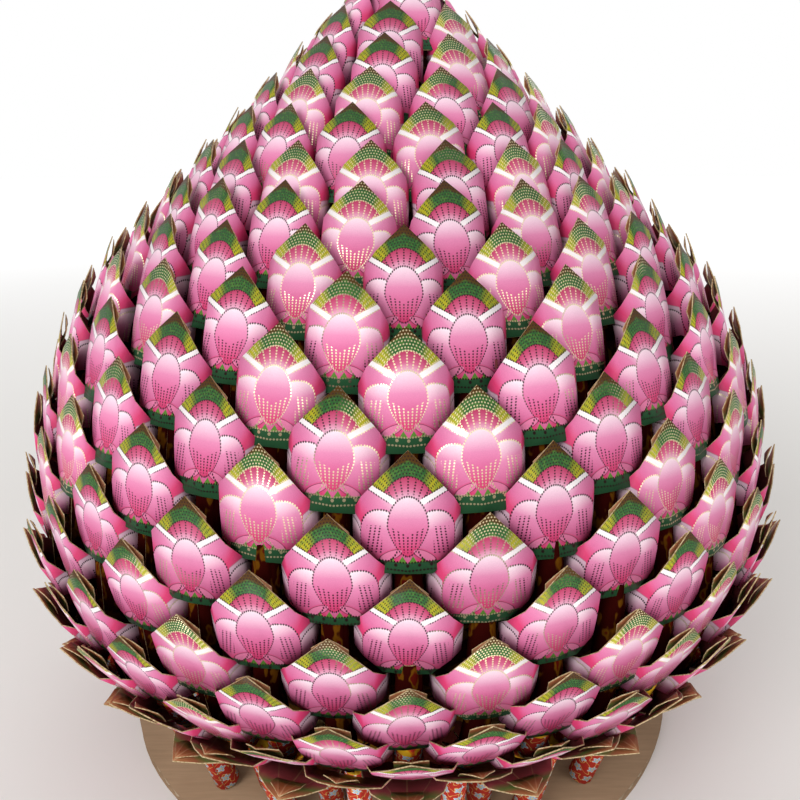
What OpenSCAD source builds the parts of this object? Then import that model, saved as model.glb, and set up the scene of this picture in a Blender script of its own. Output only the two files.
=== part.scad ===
// Tower of folded paper petals on rolled paper sleeves, ring above ring like an artichoke.
// Z points up, the origin is at the middle of the underside of the card disc, sizes in mm.
// Rings are counted from the lowest (0) up to the closed bud at the top.

/* [Tower] */
// Petals in each full ring
columns = 22; // [18:1:22]
// Radius of the petal tips at the belly
belly_r = 219; // [210:1:235]
// Height of the belly above the table
belly_z = 130; // [125:1:140]
// Height of the tips of the lowest ring
first_tip_z = 78; // [76:1:84]
// Height of the point that the upper cone aims at
apex_z = 438; // [430:1:450]
// Lean of the upper cone from upright, degrees
cone_lean = 47.5; // [46:0.5:50]
// Rings in the flared skirt, which lie closer together
skirt_rings = 5; // [4:1:6]
// Rise from one skirt ring to the next
skirt_step = 18.5; // [17:0.5:20]
// Radius of the petal tips of the bud
bud_r = 4.6; // [4.2:0.2:5]
// Rise from the ring below to the bud
bud_step = 12.5; // [12:0.5:13]
// Width of the petals of the bud
bud_w = 22; // [20:1:23]
// Turn of the whole tower about its axis, degrees
tower_turn = 0.9; // [-8:0.1:8]

/* [Petals] */
// Length of a petal from its tip to its lower edge
petal_len = 42; // [38:1:44]
// Greatest width of a petal
petal_w = 42; // [36:1:43]
// Width of the petals of the top rings
petal_w_min = 32; // [28:1:33]
// Thickness of the doubled paper
petal_wall = 0.7; // [0.5:0.1:1.2]
// Depth of a wing behind the front, in the lower rings
wing_depth = 12; // [9:0.5:13]
// Depth of a wing behind the front, in the top rings
wing_depth_min = 7; // [5:0.5:8]
// Outward lean of the lowest petals, degrees
lean_low = 66; // [60:1:70]
// Lean that the top petals come close to, degrees
lean_top = -42; // [-46:1:-38]
// Height over which the lean fades
lean_fade = 130; // [120:1:140]
// Half of the angle at a petal's tip, degrees
tip_half = 41.5; // [38:0.5:45]
// Height over which the lower corners are rounded off
corner_h = 14; // [10:1:16]

/* [Sleeves] */
// Radius of a sleeve at its foot
sleeve_foot_r = 7; // [6:0.25:7.5]
// Radius of a sleeve at its head
sleeve_head_r = 5; // [3:0.5:6]
// Wall of the rolled paper
sleeve_wall = 0.8; // [0.5:0.1:1.2]
// Length of a sleeve
sleeve_len = 36; // [32:1:38]
// How far inside the belly the sleeves of the lowest ring stand on the disc
stand_in = 83; // [79:1:85]

/* [Base and former] */
// Radius of the card disc
disc_r = 174; // [168:1:185]
// Thickness of the card disc
disc_t = 5; // [4:0.5:8]
// Wall of the hollow card former inside the tower
former_wall = 2; // [1.5:0.5:4]
// Gap between the lowest sleeves and the former behind them
former_gap = 5; // [3:0.5:6]

/* [Fits] */
// Play between pieces that rest on each other
play = 0.3; // [0.2:0.05:0.4]

/* [Hidden] */
$fn = 96;

// Rings of petals, the bud included, and petals in the bud
rings = 21;
bud_petals = 3;

// Rings below this one stand on the disc or on the heads two rings below
chained = 8;
// How far the second ring stands outside the first, and rough lean of the sleeves on the disc
stand_step = 14;
stand_lean = 17;
// Share of a foot's radius that its tilt needs above the head it stands on
seat_share = 0.22;
// Room along the ring that a petal needs, which thins out the top rings
room = 35.5;
// Share of the ring's pitch that a petal spans
span_share = 0.745;
// Turns of the thinned-out top rings, degrees
top_turn = [-7, 8, -10, -7, -5, 12];
// Share of the belly radius that the face draws in over a height of one belly radius
fall_share_up = 0.482;
fall_share_down = 1.86;
// Levels at which the length of the face is measured
levels = 60;
// Part of the petal's lean that a free sleeve takes
sleeve_share = 0.55;
// How far the head of a sleeve reaches above the petal's lower edge
tuck = 3;
// Shape of a petal: shares of its width where the front ends, the lower edge ends and the bend ends
flat_share = 0.26;
foot_share = 0.13;
bend_share = 0.42;
bend_depth_share = 0.155;
// Share of the corner height that is reached at the bend
corner_share = 0.6;
// Drop of the tip's edges for each millimetre of depth
edge_drop = 0.69;

// Face of the tower: a dome that passes into a cone
function fall(z) = (z < belly_z ? fall_share_down : fall_share_up) / belly_r;
function dome_r(z) = belly_r - fall(z) * (z - belly_z) * (z - belly_z);
function cone_r(z) = (apex_z - z) * tan(cone_lean);
function tip_r(z) = max(bud_r, min(dome_r(z), cone_r(z)));
function slope(z) = dome_r(z) < cone_r(z) ? atan(2 * fall(z) * (z - belly_z)) : cone_lean;

// Rings rise by equal steps in the skirt and lie evenly along the face from there to the bud
skirt_z = first_tip_z + skirt_rings * skirt_step;
bud_z = apex_z - bud_r / tan(cone_lean);
level_h = (bud_z - bud_step - skirt_z) / levels;
function level(k) = skirt_z + k * level_h;
function face_len(k) = k == 0 ? 0 : face_len(k - 1) + level_h / cos(slope(level(k - 0.5)));
FACE = [for (k = [0:levels]) [face_len(k), level(k)]];
free_step = face_len(levels) / (rings - 2 - skirt_rings);
function tip_z(i) = i < skirt_rings ? first_tip_z + i * skirt_step
    : i == rings - 1 ? bud_z : lookup((i - skirt_rings) * free_step, FACE);

// Tip height, tip radius and lean of each ring
Z = [for (i = [0:rings - 1]) tip_z(i)];
R = [for (z = Z) tip_r(z)];
LEAN = [for (z = Z) lean_top + (lean_low - lean_top) * exp(-(z - first_tip_z) / lean_fade)];

// Petals in ring i, their angular pitch, pitch along the tips and first angle
function petals_in(i) = max(bud_petals, min(columns, floor(2 * PI * (R[i] + petal_len / 4) / room)));
function pitch_angle(i) = 360 / petals_in(i);
function pitch(i) = 2 * PI * R[i] / petals_in(i);
function is_full(i) = petals_in(i) == columns;
first_thin = len([for (i = [0:rings - 1]) if (is_full(i)) 1]);
function ring_turn(i) = is_full(i) ? tower_turn - (i % 2) * pitch_angle(i) / 2
    : top_turn[(i - first_thin) % len(top_turn)];

// Width of a petal and depth of its wings in ring i
function is_bud(i) = i == rings - 1;
function width(i) = is_bud(i) ? bud_w : min(petal_w, max(petal_w_min, span_share * pitch(i)));
function crowding(i) = min(1, max(0, (pitch(i) - width(i)) / (petal_w / 2)));
function depth(i) = wing_depth_min + (wing_depth - wing_depth_min) * crowding(i);

// Points in the plane of a petal: radius and height, from a distance below the tip and a depth
function below(i, w, d) = [
    R[i] - w * sin(LEAN[i]) - d * cos(LEAN[i]),
    Z[i] - w * cos(LEAN[i]) + d * sin(LEAN[i])];

// Sleeves get slimmer where the ring is crowded
function slim(i) = min(1, pitch(i) / (petal_w * 1.2));
function head_r(i) = sleeve_head_r * slim(i);
function foot_r(i) = sleeve_foot_r * slim(i);
function head_w() = petal_len - tuck;
function head_depth(i) = let (a = i < 2 ? LEAN[i] - stand_lean : 0)
    petal_wall + play + head_r(i) / cos(a) + (tuck + play) * tan(a);
function head(i) = below(i, head_w(), head_depth(i));

// Centre of each sleeve's foot: on the disc, on the head two rings below, or along its own lean
stand_r = belly_r - stand_in;
function stand(i) = let (r = stand_r + i * stand_step, v = head(i) - [r, disc_t])
    [r, disc_t + play + foot_r(i) * sin(atan2(v[0], v[1]))];
function seat(i) = play + head_r(i - 2) * abs(sin(LEAN[i - 2] - sleeve_lean(i - 2))) + seat_share * foot_r(i);
function on_head(i) = below(i - 2, head_w() - seat(i), petal_wall + play + foot_r(i));
function along(i) = head(i) - sleeve_len * [sin(LEAN[i] * sleeve_share), cos(LEAN[i] * sleeve_share)];
function foot(i) = i < 2 ? stand(i) : i < chained ? on_head(i) : along(i);
function sleeve_lean(i) = let (v = head(i) - foot(i)) atan2(v[0], v[1]);

// Outline of the former, which the back of every free foot leans on
function foot_back(i) = let (a = sleeve_lean(i), f = foot(i))
    [f[0] - foot_r(i) * cos(a) - play, f[1] + foot_r(i) * sin(a)];
BACKS = [for (i = [chained:rings - 1]) foot_back(i)];

module ring(i)
    for (k = [0:petals_in(i) - 1])
        rotate([0, 0, ring_turn(i) + k * pitch_angle(i)]) children();

// Strip of paper seen from above: flat front, bent shoulders and wings that run back
module petal_section(w, d) {
    f = flat_share * w;
    b = bend_share * w;
    e = w / 2;
    q = bend_depth_share * w;
    t = petal_wall;
    outer = [[-e, d], [-b, q], [-f, 0], [f, 0], [b, q], [e, d]];
    inner = [[e - t, d], [b - t, q + t / 2], [f - t / 2, t], [t / 2 - f, t], [t - b, q + t / 2], [t - e, d]];
    polygon(concat(outer, inner));
}

// Roof that cuts the strip to a pointed top
module petal_roof(d) {
    b = atan(edge_drop);
    x = 2 * petal_len;
    fall_x = x * cos(b) / tan(tip_half);
    translate([0, 0, petal_len])
        rotate([90 - b, 0, 0])
            linear_extrude(height = 4 * (d + petal_len), center = true)
                polygon([[0, 0], [x, -fall_x], [-x, -fall_x]]);
}

// Outline from the front, with rounded lower corners
module petal_front(w, d) {
    f = foot_share * w;
    rotate([90, 0, 0])
        translate([0, 0, -2 * d])
            linear_extrude(height = 3 * d)
                polygon([[-f, 0], [f, 0], [bend_share * w, corner_h * corner_share], [w / 2, corner_h],
                    [w / 2, 2 * petal_len], [-w / 2, 2 * petal_len],
                    [-w / 2, corner_h], [-bend_share * w, corner_h * corner_share]]);
}

module petal(w, d) {
    intersection() {
        linear_extrude(height = petal_len) petal_section(w, d);
        petal_roof(d);
        petal_front(w, d);
    }
}

module petal_ring(i)
    color("hotpink") ring(i)
        translate([0, -R[i], Z[i]])
            rotate([LEAN[i], 0, 0])
                translate([0, 0, -petal_len]) petal(width(i), depth(i));

module sleeve(i) {
    h = norm(head(i) - foot(i));
    difference() {
        cylinder(h = h, r1 = foot_r(i), r2 = head_r(i));
        translate([0, 0, -play])
            cylinder(h = h + 2 * play, r1 = foot_r(i) - sleeve_wall, r2 = head_r(i) - sleeve_wall);
    }
}

module sleeve_ring(i)
    color("gold") ring(i)
        translate([0, -foot(i)[0], foot(i)[1]])
            rotate([sleeve_lean(i), 0, 0]) sleeve(i);

module base_disc() {
    color("tan") cylinder(h = disc_t, r = disc_r);
}

// Hollow shell of card from the disc, past a knee behind the lowest heads, to a peak inside the bud
module inner_former() {
    foot = [stand_r - foot_r(0) - former_gap, disc_t];
    knee = head(0) - [head_r(0) + former_gap, 0];
    crown = BACKS[len(BACKS) - 1];
    peak = crown[1] + crown[0] / tan(cone_lean);
    outer = concat([foot, knee], BACKS);
    last = len(outer) - 1;
    inner = [for (k = [last:-1:0]) outer[k] - [former_wall, 0]];
    color("burlywood") rotate_extrude()
        polygon(concat(outer, [[0, peak], [0, peak - former_wall / tan(cone_lean)]], inner));
}

// Name of a ring's node, such as petals_07
function ring_name(kind, i) = str(kind, "_", i < 9 ? "0" : "", i + 1);

base_disc();
inner_former();
for (i = [0:rings - 1]) {
    petal_ring(i);
    sleeve_ring(i);
}
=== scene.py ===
"""Looks of the folded paper petal tower: printed petals, rolled sleeves, card disc and former."""
from __future__ import annotations

import logging
import math
from dataclasses import dataclass, field
from enum import Enum

import bpy
import numpy as np
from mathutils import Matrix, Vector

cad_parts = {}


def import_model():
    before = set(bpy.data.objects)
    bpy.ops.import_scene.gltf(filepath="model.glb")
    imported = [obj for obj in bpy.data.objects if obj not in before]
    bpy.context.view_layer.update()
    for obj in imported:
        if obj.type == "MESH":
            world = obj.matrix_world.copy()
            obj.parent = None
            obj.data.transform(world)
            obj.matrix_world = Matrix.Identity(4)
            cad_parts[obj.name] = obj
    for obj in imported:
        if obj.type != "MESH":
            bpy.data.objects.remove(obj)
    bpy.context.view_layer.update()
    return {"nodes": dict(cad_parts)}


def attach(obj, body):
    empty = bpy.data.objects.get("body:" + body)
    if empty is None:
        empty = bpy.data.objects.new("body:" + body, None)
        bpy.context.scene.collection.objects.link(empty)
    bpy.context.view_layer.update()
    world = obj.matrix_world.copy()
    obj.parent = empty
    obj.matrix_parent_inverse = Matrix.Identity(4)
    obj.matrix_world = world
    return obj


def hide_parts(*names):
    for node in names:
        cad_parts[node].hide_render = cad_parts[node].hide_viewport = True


LOG = logging.getLogger("petal_tower")
MM = 0.001
UV_SPAN = 80.0
Socket = bpy.types.NodeSocket


class Face(Enum):
    """Which finish a face of a paper sheet shows."""

    PRINT = 0
    INSIDE = 1
    EDGE = 2


class Axis(Enum):
    """Axis that a copy turns about."""

    X = 0
    Y = 1
    Z = 2


# shader kit


class Value:
    """A number that changes over a surface, wrapped so that Python maths adds Math nodes."""

    def __init__(self, tree: Tree, socket: Socket) -> None:
        """Keep the tree and the output socket."""
        self.tree = tree
        self.socket = socket

    def _op(self, kind: str, *values: Value | float, clamp: bool = False) -> Value:
        """Add one Math node on the given values, in their order."""
        node = self.tree.node("ShaderNodeMath", {"operation": kind, "use_clamp": clamp}, values)
        return Value(self.tree, node.outputs[0])

    def __add__(self, other: Value | float) -> Value:
        """Sum."""
        return self._op("ADD", self, other)

    __radd__ = __add__

    def __mul__(self, other: Value | float) -> Value:
        """Product."""
        return self._op("MULTIPLY", self, other)

    __rmul__ = __mul__

    def __sub__(self, other: Value | float) -> Value:
        """Difference."""
        return self._op("SUBTRACT", self, other)

    def __rsub__(self, other: float) -> Value:
        """Difference with the number first."""
        return self._op("SUBTRACT", other, self)

    def __truediv__(self, other: Value | float) -> Value:
        """Quotient."""
        return self._op("DIVIDE", self, other)

    def __rtruediv__(self, other: float) -> Value:
        """Quotient with the number first."""
        return self._op("DIVIDE", other, self)

    def __pow__(self, other: Value | float) -> Value:
        """Power."""
        return self._op("POWER", self, other)

    def __rpow__(self, other: float) -> Value:
        """Power with the number as its base."""
        return self._op("POWER", other, self)

    def abs(self) -> Value:
        """Size without sign."""
        return self._op("ABSOLUTE", self)

    def sqrt(self) -> Value:
        """Square root."""
        return self._op("SQRT", self)

    def fract(self) -> Value:
        """Part after the decimal point."""
        return self._op("FRACT", self)

    def floor(self) -> Value:
        """Whole part."""
        return self._op("FLOOR", self)

    def sin(self) -> Value:
        """Sine of an angle in radians."""
        return self._op("SINE", self)

    def angle(self, other: Value | float) -> Value:
        """Angle of the point (other, self) in radians."""
        return self._op("ARCTAN2", self, other)

    def high(self, other: Value | float) -> Value:
        """Larger of two."""
        return self._op("MAXIMUM", self, other)

    def ramp(self, start: float, end: float) -> Value:
        """0 at start, 1 at end, straight in between and clamped; start may be the larger."""
        scale = 1.0 / (end - start)
        return self._op("MULTIPLY_ADD", self, scale, -start * scale, clamp=True)

    def above(self, edge: Value | float, soft: float = 0.16) -> Value:
        """1 where this is larger than edge, with a soft step.

        Args:
            edge: a Value or a number.
            soft: width of the step.

        Returns:
            The mask.
        """
        if isinstance(edge, Value):
            return (self - edge).above(0.0, soft)
        return self.ramp(edge - soft / 2, edge + soft / 2)

    def below(self, edge: Value | float, soft: float = 0.16) -> Value:
        """1 where this is smaller than edge, with a soft step.

        Args:
            edge: a Value or a number.
            soft: width of the step.

        Returns:
            The mask.
        """
        if isinstance(edge, Value):
            return (self - edge).below(0.0, soft)
        return self.ramp(edge + soft / 2, edge - soft / 2)


class Tree:
    """The node tree of a material or of the world, with one method for every node."""

    def __init__(self, owner: bpy.types.Material | bpy.types.World) -> None:
        """Switch the owner's nodes on and keep them.

        Args:
            owner: the material or the world.
        """
        owner.use_nodes = True
        self.owner = owner
        self.nodes, self.links = owner.node_tree.nodes, owner.node_tree.links

    @classmethod
    def paint(cls, name: str) -> Tree:
        """Tree of a new material with a Principled shader."""
        return cls(bpy.data.materials.new(name))

    @property
    def shader(self) -> bpy.types.Node:
        """The material's Principled shader."""
        return self.nodes["Principled BSDF"]

    def put(self, socket: Socket, value: Value | Socket | tuple | float) -> None:
        """Link or set one input socket.

        Args:
            socket: the input socket.
            value: a Value, an output socket, a number or a colour.
        """
        if isinstance(value, Value):
            value = value.socket
        if isinstance(value, Socket):
            self.links.new(value, socket)
        elif isinstance(value, tuple) and len(value) == 3 and socket.type == "RGBA":
            socket.default_value = (*value, 1.0)
        else:
            socket.default_value = value

    def node(self, kind: str, settings: dict | None = None, inputs: dict | tuple = ()) -> bpy.types.Node:
        """Add a node of any kind.

        Args:
            kind: the node's type name.
            settings: its properties, set first; "stops" are a ramp's (place, colour) pairs.
            inputs: its sockets by name or by order.

        Returns:
            The new node.
        """
        made = self.nodes.new(kind)
        for key, value in (settings or {}).items():
            if key == "stops":
                ramp = made.color_ramp
                while len(ramp.elements) < len(value):
                    ramp.elements.new(1.0)
                for element, (place, colour) in zip(ramp.elements, value):
                    element.position = place
                    element.color = (*colour, 1.0)
            else:
                setattr(made, key, value)
        pairs = inputs.items() if isinstance(inputs, dict) else enumerate(inputs)
        for key, value in pairs:
            self.put(made.inputs[key], value)
        return made

    def mix(self, factor: Value | float, base: Socket | tuple, top: Socket | tuple) -> Socket:
        """Colour base where factor is 0 and top where it is 1."""
        settings = {"data_type": "RGBA"}
        return self.node("ShaderNodeMix", settings, {"Factor": factor, 6: base, 7: top}).outputs[2]

    def ramp(self, factor: Value, stops: list[tuple[float, tuple]]) -> Socket:
        """Colour from a ramp."""
        return self.node("ShaderNodeValToRGB", {"stops": stops}, {"Fac": factor}).outputs[0]

    def scaled(self, colour: Socket, shade: Value) -> Socket:
        """Colour times a number."""
        inputs = {0: colour, "Scale": shade}
        return self.node("ShaderNodeVectorMath", {"operation": "SCALE"}, inputs).outputs[0]

    def object_place(self) -> Socket:
        """Place on the object in metres."""
        return self.node("ShaderNodeTexCoord").outputs["Object"]

    def uv_mm(self) -> tuple[Value, Value]:
        """Place on the flat sheet in mm.

        Returns:
            The place across from the middle line, and down from the tip or head.
        """
        place = self.node("ShaderNodeUVMap", {"uv_map": "sheet"}).outputs[0]
        split = self.node("ShaderNodeSeparateXYZ", {}, (place,))
        across = Value(self, split.outputs[0]) * UV_SPAN - UV_SPAN / 2
        down = UV_SPAN - Value(self, split.outputs[1]) * UV_SPAN
        return across, down

    def attribute(self, name: str) -> Value:
        """A number stored in the mesh."""
        return Value(self, self.node("ShaderNodeAttribute", {"attribute_name": name}).outputs["Fac"])

    def noise(self, scale: float, detail: float = 3.0, vector: Socket | None = None) -> Value:
        """Cloudy number from 0 to 1, on Object coordinates unless a vector is given."""
        inputs = {"Vector": vector or self.object_place(), "Scale": scale, "Detail": detail}
        return Value(self, self.node("ShaderNodeTexNoise", {}, inputs).outputs[0])

    def bump(self, height: Value, strength: float, distance: float) -> None:
        """Raise the surface by a height field."""
        made = self.node("ShaderNodeBump", {}, {"Height": height, "Strength": strength, "Distance": distance})
        self.put(self.shader.inputs["Normal"], made.outputs[0])

    def finish(
            self, colour: Socket | tuple, roughness: Value | float,
            **fixed: Value | Socket | float) -> bpy.types.Material:
        """Set the shader's sockets.

        Args:
            colour: base colour or its socket.
            roughness: number or Value.
            fixed: further sockets by name, with spaces as underscores.

        Returns:
            The material.
        """
        self.put(self.shader.inputs["Base Color"], colour)
        self.put(self.shader.inputs["Roughness"], roughness)
        for key, value in fixed.items():
            self.put(self.shader.inputs[key.replace("_", " ")], value)
        return self.owner


def distance(x: Value, y: Value) -> Value:
    """Distance from the origin: sqrt(x^2 + y^2)."""
    return (x * x + y * y).sqrt()


def disc_dot(x: Value, y: Value, radius: float) -> Value:
    """1 inside a round dot: the distance from its middle is compared with the radius."""
    return distance(x, y).below(radius, 0.08)


def row(x: Value, step: float) -> Value:
    """Distance from the nearest of the places at half steps: (fract(x / step) - 0.5) * step."""
    return ((x / step).fract() - 0.5) * step


def centred_row(x: Value, step: float) -> Value:
    """Distance from the nearest of the places at whole steps, so that one of them is at 0."""
    return row(x + step / 2, step)


def most(values: list[Value]) -> Value:
    """Largest of several values.

    Args:
        values: the values, at least one.

    Returns:
        Their maximum.
    """
    best = values[0]
    for value in values[1:]:
        best = best.high(value)
    return best


# finishes


class LotusLines:
    """Outlines of the lotus print as numbers that change over the flat sheet.

    s is the place across, a its size without sign and w the place down from the tip, in mm. A rounded
    shape is a distance that is 1 on its outline: sqrt(x^2 + y^2) for the egg, wings and lobes and
    (x^p + y^p)^(1/p) for the side petals, where x and y are shares of its half sizes. The collar, the
    wing's top and the foot are straight lines, w = middle + slope * a, and the arch is a parabola.
    """

    def __init__(self, t: Tree, look: LotusPrint) -> None:
        """Work out every outline once.

        Args:
            t: node tree of the print.
            look: sizes of the print.
        """
        s, w = t.uv_mm()
        self.tone = t.attribute("tone")
        slip_across, slip_down = look.slip
        self.s = s + ((self.tone * 7.3).fract() - 0.5) * slip_across
        self.w = w + (self.tone - 0.5) * slip_down
        self.a = self.s.abs()
        self.wings(look)
        self.sides(look)
        self.tip(look)
        self.middle(look)

    def wings(self, look: LotusPrint) -> None:
        """Scallops on the wings and the edge of the lilac ground above them.

        Args:
            look: sizes of the print.
        """
        self.wing_mid = row(self.a - look.wing_mid[0], look.wing_step)
        self.wing_x = self.wing_mid / look.wing_half[0]
        self.wing_y = (self.w - look.wing_mid[1]) / look.wing_half[1]
        self.wing_r = distance(self.wing_x, self.wing_y)
        self.on_wing = self.a.above(look.wing_from, 0.3)
        self.wing_top = 34.4 - self.a * 0.5

    def sides(self, look: LotusPrint) -> None:
        """Large side petals, which run under the egg.

        Args:
            look: sizes of the print.
        """
        power = look.side_power
        self.side_x = self.a - look.side_mid[0]
        self.side_y = self.w - look.side_mid[1]
        x = (self.side_x / look.side_half[0]).abs() ** power
        y = (self.side_y / look.side_half[1]).abs() ** power
        self.side_r = (x + y) ** (1.0 / power)

    def tip(self, look: LotusPrint) -> None:
        """White collar, the fan above it and the green arch in the fan.

        Args:
            look: sizes of the print.
        """
        self.collar_top = look.collar_top - self.a * 0.565
        self.collar_low = look.collar_low - self.a * 0.60
        self.arch = look.arch_top + self.a * self.a * 0.072
        self.in_fan = self.w.below(self.collar_top)
        self.in_arch = self.w.below(self.arch) * self.in_fan

    def middle(self, look: LotusPrint) -> None:
        """Egg, which narrows towards its lower end, the small lobes and the foot band.

        Args:
            look: sizes of the print.
        """
        self.egg_y = (self.w - look.egg_mid) / look.egg_half[1]
        egg_x = self.s / (look.egg_half[0] - self.w.ramp(27.0, 38.0) * look.egg_narrowing)
        self.egg_r = distance(egg_x, self.egg_y)
        lobe_x = self.a - look.lobe_mid[0]
        lobe_y = self.w - look.lobe_mid[1] - lobe_x * 0.36
        self.lobe_r = distance(lobe_x * 0.24, lobe_y * 0.60)
        self.foot = look.foot_top - self.a * 0.09


@dataclass(frozen=True)
class LotusPrint:
    """Printed outer face of a petal: gold tip, green arch, pink lotus with foil dots, green foot.

    Places, half sizes, steps and radii are in mm on the flat sheet; a pair is across, then down.
    """

    brown: tuple = (0.080, 0.034, 0.004)
    green: tuple = (0.024, 0.100, 0.024)
    leaf: tuple = (0.10, 0.23, 0.035)
    forest: tuple = (0.020, 0.085, 0.034)
    lime: tuple = (0.40, 0.36, 0.014)
    wine: tuple = (0.40, 0.030, 0.090)
    cherry: tuple = (0.53, 0.105, 0.215)
    deep: tuple = (0.60, 0.042, 0.145)
    pink: tuple = (0.61, 0.125, 0.285)
    rose: tuple = (0.64, 0.210, 0.375)
    pale: tuple = (0.72, 0.45, 0.57)
    lobe: tuple = (0.70, 0.19, 0.35)
    blush: tuple = (0.80, 0.63, 0.70)
    lilac: tuple = (0.56, 0.41, 0.50)
    white: tuple = (0.82, 0.76, 0.77)
    ink: tuple = (0.022, 0.006, 0.010)
    foil: tuple = (0.78, 0.66, 0.40)
    slip: tuple = (1.0, 1.2)
    wing_mid: tuple = (18.0, 38.5)
    wing_half: tuple = (9.5, 13.5)
    wing_step: float = 13.0
    wing_from: float = 17.8
    side_mid: tuple = (10.4, 30.4)
    side_half: tuple = (7.3, 9.6)
    side_power: float = 2.4
    collar_top: float = 19.6
    collar_low: float = 22.3
    arch_top: float = 8.9
    fan_root: float = 27.5
    fan_deep: float = 8.2
    egg_mid: float = 26.8
    egg_half: tuple = (7.5, 10.8)
    egg_narrowing: float = 2.6
    lobe_mid: tuple = (6.3, 37.3)
    crown_top: float = 37.5
    crown_step: float = 3.9
    foot_top: float = 40.1
    line: float = 0.014
    dot_step: float = 1.08
    dot_r: float = 0.36
    ray_turn: float = 0.165
    egg_row: float = 1.7
    side_row: float = 1.7
    wing_row: float = 1.9
    freckle_step: float = 1.2
    freckle_r: float = 0.31
    foot_dot_step: float = 4.4
    foot_dot_r: float = 0.62

    def petals(self, t: Tree, at: LotusLines) -> Socket:
        """Petals behind, scallops on the wings and the large side petals.

        Args:
            t: node tree of the print.
            at: outlines of the print.

        Returns:
            The colour so far.
        """
        slant = (at.a - 7.0) * 0.064 + (at.w - 16.0) * 0.050
        stops = [(0.0, self.pale), (0.3, self.rose), (0.7, self.pink), (1.0, self.deep)]
        colour = t.ramp(slant.ramp(0.0, 1.0), stops)
        colour = t.mix(at.on_wing * at.w.above(at.wing_top, 0.6) * 0.9, colour, self.lilac)
        stops = [(0.0, self.blush), (0.45, self.rose), (1.0, self.deep)]
        scallop = t.ramp(at.w.ramp(25.0, 42.0), stops)
        colour = t.mix(at.wing_r.below(1.0, 0.03) * at.on_wing, colour, scallop)
        slant = (at.w - 21.5) * 0.047 + (at.a - 9.0) * 0.02
        stops = [(0.0, self.blush), (0.3, self.rose), (0.65, self.pink), (1.0, self.deep)]
        return t.mix(at.side_r.below(1.0, 0.02), colour, t.ramp(slant.ramp(0.0, 1.0), stops))

    def tip(self, t: Tree, at: LotusLines, colour: Socket) -> Socket:
        """White collar, fan and green arch with a gold-brown point.

        Args:
            t: node tree of the print.
            at: outlines of the print.
            colour: the colour so far.

        Returns:
            The colour with the tip.
        """
        colour = t.mix(at.w.below(at.collar_low) * at.a.above(4.5), colour, self.white)
        stops = [(0.0, self.wine), (0.5, self.cherry), (1.0, self.pale)]
        colour = t.mix(at.in_fan, colour, t.ramp((at.w - at.arch).ramp(0.0, self.fan_deep), stops))
        place = t.node("ShaderNodeCombineXYZ", {}, (at.s * 0.9, at.w * 0.9, at.tone * 20.0)).outputs[0]
        speck = t.noise(1.0, 2.0, vector=place)
        green = t.mix((at.a * 1.5 + at.w * 0.4 + speck * 3.0).ramp(13.5, 18.5), self.green, self.lime)
        green = t.mix(speck.ramp(0.48, 0.62) * 0.5, green, self.leaf)
        green = t.mix((at.w - at.a * 0.45 + speck * 1.6).ramp(4.8, 3.6), green, self.brown)
        return t.mix(at.in_arch, colour, green)

    def middle(self, t: Tree, at: LotusLines, colour: Socket) -> Socket:
        """Egg, the small lobes with a deep rim, crown and foot band.

        Args:
            t: node tree of the print.
            at: outlines of the print.
            colour: the colour so far.

        Returns:
            The colour with these.
        """
        stops = [(0.0, self.blush), (0.16, self.pale), (0.38, self.rose), (0.62, self.pink), (1.0, self.deep)]
        colour = t.mix(at.egg_r.below(1.0, 0.02), colour, t.ramp(at.w.ramp(16.0, 37.5), stops))
        rim = at.lobe_r.below(1.25, 0.5) * at.w.above(34.0)
        colour = t.mix(rim * 0.7, colour, self.deep)
        colour = t.mix(at.lobe_r.below(1.0, 0.06), colour, self.lobe)
        crown = self.crown_top + row(at.a, self.crown_step).abs() * 1.5 + at.a.ramp(4.5, 8.0) * 1.4
        colour = t.mix(at.w.above(crown) * at.a.below(11.5, 0.4), colour, self.leaf)
        return t.mix(at.w.above(at.foot) * at.a.below(13.0, 0.6), colour, self.forest)

    def outlines(self, t: Tree, at: LotusLines, colour: Socket) -> Socket:
        """Thin ink lines where a distance is near 1 or the wing's top edge is near.

        Args:
            t: node tree of the print.
            at: outlines of the print.
            colour: the colour so far.

        Returns:
            The colour with the lines.
        """
        shapes = (at.egg_r, at.side_r, at.wing_r)
        egg, side, wing = ((r - 1.0).abs().below(self.line, self.line) for r in shapes)
        lines = most([
            egg,
            side * at.egg_r.above(1.0) * at.w.above(at.collar_low),
            wing * at.a.above(self.wing_from) * at.side_r.above(1.0),
            (at.w - at.wing_top).abs().below(0.2, 0.2) * at.on_wing])
        colour = t.mix(lines * 0.3, colour, self.ink)
        lobe_line = (at.lobe_r - 1.0).abs().below(0.07, 0.06) * at.w.below(at.foot) * at.egg_r.above(1.0)
        return t.mix(lobe_line * 0.75, colour, self.ink)

    def dots_along(self, along: Value, off: Value, window: Value) -> Value:
        """Dots at even steps along a line, seen only inside a window."""
        return disc_dot(row(along, self.dot_step), off, self.dot_r) * window

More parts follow.
